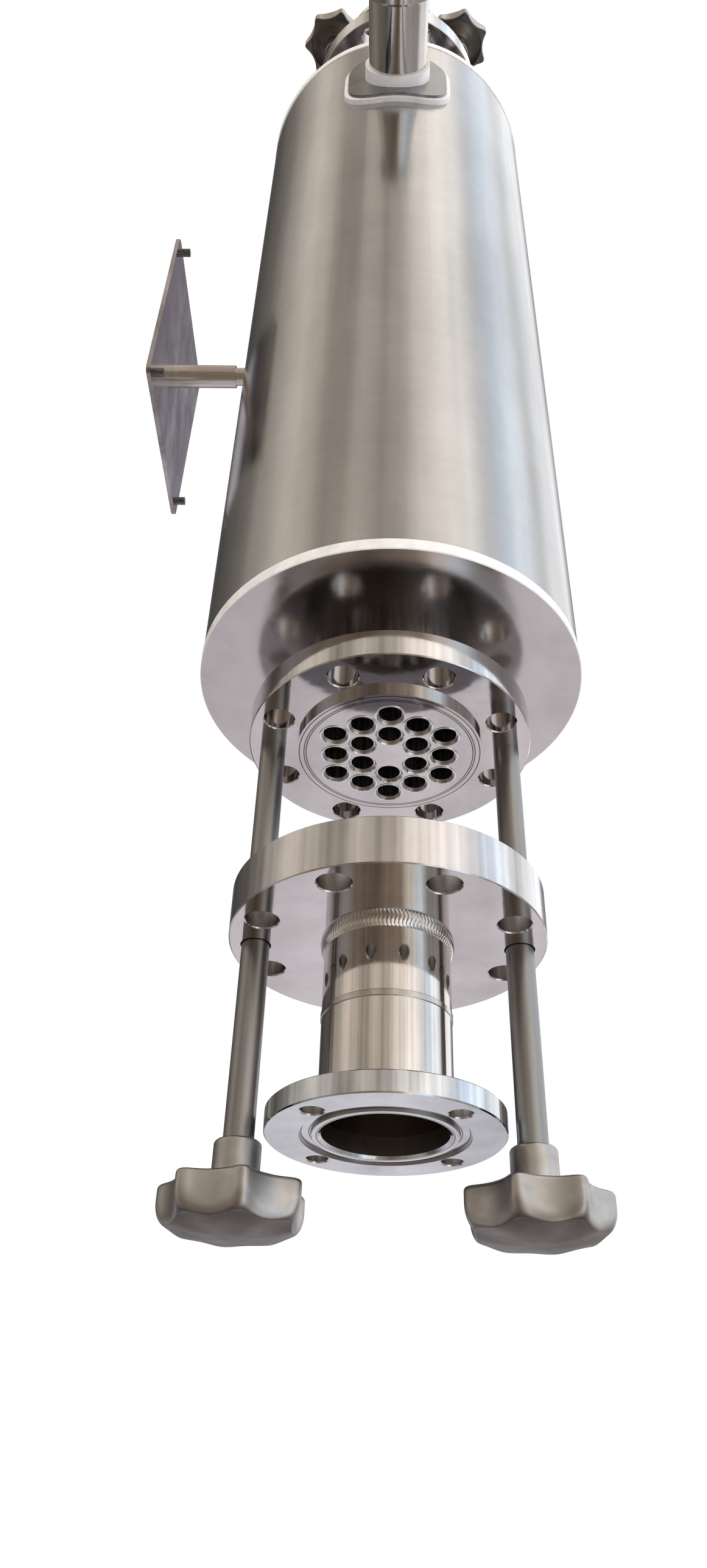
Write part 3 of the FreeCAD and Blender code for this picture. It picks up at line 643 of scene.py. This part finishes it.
def make_cover_bead(end):
    """A rippled fillet bead in the corner of the nozzle pipe and the cover."""
    weld = f"{end}_cover_weld"
    level = outer_face(end, "cover")
    radius = half_width(f"{end}_nozzle_pipe")
    up = np.array((0, 0, OUTWARD[end] * BEAD_HEIGHT))
    steps = RIPPLES * STEPS_PER_RIPPLE
    rings = []
    for i in range(steps):
        angle = TURN * i / steps
        spoke = np.array((math.cos(angle), math.sin(angle), 0))
        corner = np.array((AXIS.x, AXIS.y, level)) + radius * spoke
        section = [corner]
        for part in quarter_turn(BEAD_STEPS):
            crown = math.sin(2 * part)
            phase = (RIPPLES * i / steps + RIPPLE_LAG * crown) % 1
            size = 1 - RIPPLE_DEPTH * phase ** 2 * crown ** 0.5
            section.append(corner + size * (BEAD_WIDTH * math.cos(part) * spoke
                                            + math.sin(part) * up))
        rings.append(np.array(section))
    bead = loft(weld + "_bead", rings, BRIGHT_WELD, closed=True, sharp=50)
    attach(bead, f"{end}_header")
    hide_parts(weld)


for end in OUTWARD:
    make_cover_bead(end)


# ---------------------------------------------------------------- tube ends

TUBE_MOUTH = 6.35 * MM
LIP_WIDTH = 0.55 * MM
# the middle of the lip's section, out from the mouth, and its rise, as shares of its width
LIP_OFFSET = 0.9
LIP_RISE = 0.7
POINTS_AROUND = 40
POINTS_ACROSS = 8


def stated_tubes():
    """Where the tubes are whose bores the record states: the twelve of the outer ring."""
    places = []
    for opening in frame["record"]["physics"]["openings"]:
        if opening["name"].startswith("tube_bore"):
            low, high = opening["box_m"]
            places.append(((low[0] + high[0]) / 2, (low[1] + high[1]) / 2))
    return places


def make_tube_lips(end):
    """The bright rounded lips round the outer tubes' mouths, as one piece.

    The six inner tubes have no lips.
    """
    level = outer_face(end, "tubesheet")
    outward = OUTWARD[end]
    around, across = POINTS_AROUND, POINTS_ACROSS
    points, faces = [], []
    for x, y in stated_tubes():
        start = len(points)
        for i in range(around):
            angle = TURN * i / around
            for k in range(across):
                part = TURN * k / across
                radius = TUBE_MOUTH + LIP_WIDTH * (LIP_OFFSET + math.cos(part))
                points.append((x + radius * math.cos(angle), y + radius * math.sin(angle),
                               level + outward * LIP_WIDTH * LIP_RISE * math.sin(part)))
        for i in range(around):
            for k in range(across):
                a, b = i * across, (i + 1) % around * across
                j = (k + 1) % across
                faces.append(tuple(start + n for n in (a + k, b + k, b + j, a + j)))
    mesh = bpy.data.meshes.new(f"{end}_tube_lips")
    mesh.from_pydata(points, [], faces)
    make_outward(mesh)
    mesh.shade_smooth()
    mesh.materials.append(TUBE_LIPS)
    lips = bpy.data.objects.new(f"{end}_tube_lips", mesh)
    bpy.context.scene.collection.objects.link(lips)
    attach(lips, "exchanger")


for end in OUTWARD:
    make_tube_lips(end)


# ---------------------------------------------------------------- floor, light, camera

NOZZLE_FACE = outer_face("lower", "nozzle_flange")
FLOOR_DROP = 0.26
FLOOR_LEVEL = NOZZLE_FACE - FLOOR_DROP
FLOOR_REACH = 30


def make_floor():
    """A wide pale floor, a little uneven in tone."""
    mesh = bpy.data.meshes.new("floor")
    reach = FLOOR_REACH
    mesh.from_pydata([(-reach, -reach, 0), (reach, -reach, 0), (reach, reach, 0),
                      (-reach, reach, 0)], [], [(0, 1, 2, 3)])
    paint = Paint("pale_floor")
    tone = paint.noise((1.3, 1.3, 1), detail=3)
    paint.shader.inputs["Metallic"].default_value = 0
    paint.colour(paint.blend(paint.spread(tone, 0, 1),
                             (0.775, 0.755, 0.775), (0.805, 0.79, 0.81)))
    paint.roughness(paint.spread(tone, 0.7, 0.8))
    mesh.materials.append(paint.material)
    floor = bpy.data.objects.new("floor", mesh)
    floor.location = (AXIS.x, AXIS.y, FLOOR_LEVEL)
    floor.visible_glossy = False
    bpy.context.scene.collection.objects.link(floor)


# the room round the object: (azimuth from the front, turning right, in degrees; colour)
ROOM = [
    (-180, (0.17, 0.16, 0.18)),
    (-150, (0.045, 0.045, 0.044)),
    (-128, (0.085, 0.078, 0.070)),
    (-112, (0.15, 0.135, 0.12)),
    (-95, (0.36, 0.33, 0.29)),
    (-72, (0.55, 0.495, 0.435)),
    (-60, (0.50, 0.45, 0.39)),
    (-46, (0.30, 0.265, 0.225)),
    (-36, (0.30, 0.265, 0.225)),
    (-20, (0.50, 0.45, 0.39)),
    (-6, (0.36, 0.32, 0.275)),
    (5, (0.46, 0.41, 0.36)),
    (16, (0.74, 0.68, 0.61)),
    (34, (0.96, 0.89, 0.82)),
    (50, (0.98, 0.95, 0.91)),
    (62, (0.68, 0.68, 0.68)),
    (76, (0.70, 0.79, 0.90)),
    (90, (0.86, 0.93, 1.00)),
    (108, (0.66, 0.66, 0.67)),
    (122, (0.86, 0.88, 0.90)),
    (140, (0.90, 0.90, 0.92)),
    (153, (0.20, 0.185, 0.21)),
    (180, (0.17, 0.16, 0.18)),
]
ROOM_BRIGHTNESS = 1.5
# how much the brightness varies, as a share
ROOM_UNEVEN = 0.3
STREAK_SCALE = 70
CLOUD_SCALE = 3.5
# how far above and below the horizon the two rooms blend
HORIZON_BLEND = 0.15
# the same below the horizon, where the floor behind the exchanger is pale
ROOM_BELOW = [
    (-180, (0.50, 0.475, 0.50)),
    (-140, (0.44, 0.425, 0.45)),
    (-112, (0.10, 0.09, 0.08)),
    (-90, (0.30, 0.29, 0.28)),
    (-60, (0.20, 0.165, 0.13)),
    (-20, (0.14, 0.11, 0.085)),
    (0, (0.24, 0.19, 0.15)),
    (22, (0.30, 0.245, 0.20)),
    (38, (0.80, 0.74, 0.66)),
    (60, (0.80, 0.92, 1.00)),
    (80, (0.32, 0.31, 0.30)),
    (115, (0.26, 0.25, 0.25)),
    (145, (0.54, 0.50, 0.51)),
    (180, (0.50, 0.475, 0.50)),
]


def make_bands(room, share, table):
    """A colour round the horizon from a table of azimuths and colours."""
    bands = room.node("ShaderNodeValToRGB")
    bands.color_ramp.interpolation = "EASE"
    stops = bands.color_ramp.elements
    while len(stops) < len(table):
        stops.new(0.5)
    for stop, (angle, colour) in zip(stops, table):
        stop.position = (angle + 180) / 360
        stop.color = (*colour, 1)
    room.join(share, bands.inputs["Fac"])
    return bands.outputs["Color"]


def make_unevenness(room, direction, share):
    """Noise in upright streaks and soft clouds, as a strength for the room's light."""
    streaks = room.node("ShaderNodeTexNoise", noise_dimensions="1D")
    streaks.inputs["Scale"].default_value = STREAK_SCALE
    streaks.inputs["Detail"].default_value = 4
    room.join(share, streaks.inputs["W"])
    clouds = room.node("ShaderNodeTexNoise")
    clouds.inputs["Scale"].default_value = CLOUD_SCALE
    clouds.inputs["Detail"].default_value = 3
    room.join(direction, clouds.inputs["Vector"])
    both = room.add(streaks.outputs["Fac"], clouds.outputs["Fac"])
    return room.spread(both, ROOM_BRIGHTNESS * (1 - ROOM_UNEVEN),
                       ROOM_BRIGHTNESS * (1 + ROOM_UNEVEN), 0.6, 1.4)


def make_room():
    """A studio of soft upright bands of light and shade, seen only in reflections."""
    world = bpy.data.worlds.new("studio")
    bpy.context.scene.world = world
    world.use_nodes = True
    room = Wiring(world.node_tree)
    shown = room.tree.nodes["Background"]
    direction = room.node("ShaderNodeTexCoord").outputs["Generated"]
    parts = room.node("ShaderNodeSeparateXYZ")
    room.join(direction, parts.inputs["Vector"])
    front = room.node("ShaderNodeMath", operation="MULTIPLY")
    front.inputs[1].default_value = -1
    room.join(parts.outputs["Y"], front.inputs[0])
    azimuth = room.pair("ARCTAN2", parts.outputs["X"], front.outputs["Value"])
    share = room.spread(azimuth, 0, 1, -math.pi, math.pi)
    above = make_bands(room, share, ROOM)
    below = make_bands(room, share, ROOM_BELOW)
    rise = room.spread(parts.outputs["Z"], 0, 1, -HORIZON_BLEND, HORIZON_BLEND)
    room.join(room.blend(rise, below, above), shown.inputs["Color"])
    room.join(make_unevenness(room, direction, share), shown.inputs["Strength"])
    plain = room.node("ShaderNodeBackground")
    plain.inputs["Color"].default_value = (1, 1, 1, 1)
    ray = room.node("ShaderNodeLightPath")
    choice = room.node("ShaderNodeMixShader")
    room.join(ray.outputs["Is Camera Ray"], choice.inputs["Fac"])
    room.join(shown.outputs["Background"], choice.inputs[1])
    room.join(plain.outputs["Background"], choice.inputs[2])
    room.join(choice.outputs["Shader"], room.tree.nodes["World Output"].inputs["Surface"])


def make_light(name, place, size, power, colour):
    """A soft rectangular lamp aimed at the exchanger's lower half."""
    lamp = bpy.data.lights.new(name, "AREA")
    lamp.shape = "RECTANGLE"
    lamp.size, lamp.size_y = size
    lamp.energy = power
    lamp.color = colour
    holder = bpy.data.objects.new(name, lamp)
    aim = Vector((AXIS.x, AXIS.y, NOZZLE_FACE / 2))
    holder.location = aim + Vector(place)
    holder.rotation_euler = (aim - holder.location).to_track_quat("-Z", "Y").to_euler()
    holder.visible_glossy = False
    bpy.context.scene.collection.objects.link(holder)


# the camera stands close below the lower end and looks steeply up
CAMERA_FROM_NOZZLE = Vector((-4.2 * MM, -426.7 * MM, -146.2 * MM))
CAMERA_YAW = math.radians(-1.53)
CAMERA_PITCH = math.radians(36.78)
CAMERA_ROLL = math.radians(1.83)
IMAGE_HEIGHT = 2576
FOCAL_PIXELS = 1837
SENSOR = 36
LENS_SHIFT = (-0.0018, -0.0047)
NEAREST_SEEN = 10 * MM


def make_camera():
    """The camera at the photograph's angle."""
    camera = bpy.data.cameras.new("camera")
    camera.sensor_width = SENSOR
    camera.lens = SENSOR * FOCAL_PIXELS / IMAGE_HEIGHT
    camera.shift_x, camera.shift_y = LENS_SHIFT
    camera.clip_start = NEAREST_SEEN
    holder = bpy.data.objects.new("camera", camera)
    level = math.cos(CAMERA_PITCH)
    ahead = Vector((math.sin(CAMERA_YAW) * level, math.cos(CAMERA_YAW) * level,
                    math.sin(CAMERA_PITCH)))
    flat_right = Vector((math.cos(CAMERA_YAW), -math.sin(CAMERA_YAW), 0))
    flat_up = flat_right.cross(ahead)
    right = math.cos(CAMERA_ROLL) * flat_right + math.sin(CAMERA_ROLL) * flat_up
    up = ahead.cross(right) * -1
    turned = Matrix((right, up, -ahead)).transposed().to_4x4()
    place = Vector((AXIS.x, AXIS.y, NOZZLE_FACE)) + CAMERA_FROM_NOZZLE
    holder.matrix_world = Matrix.Translation(place) @ turned
    bpy.context.scene.collection.objects.link(holder)
    bpy.context.scene.camera = holder


bpy.context.scene.view_settings.view_transform = "Standard"
make_floor()
make_room()
make_light("key", (-1.2, -2.0, 2.4), (1.6, 1.6), 60, (1.0, 0.96, 0.90))
make_light("fill", (2.2, -1.0, 1.2), (1.2, 2.0), 30, (0.88, 0.94, 1.0))
make_camera()
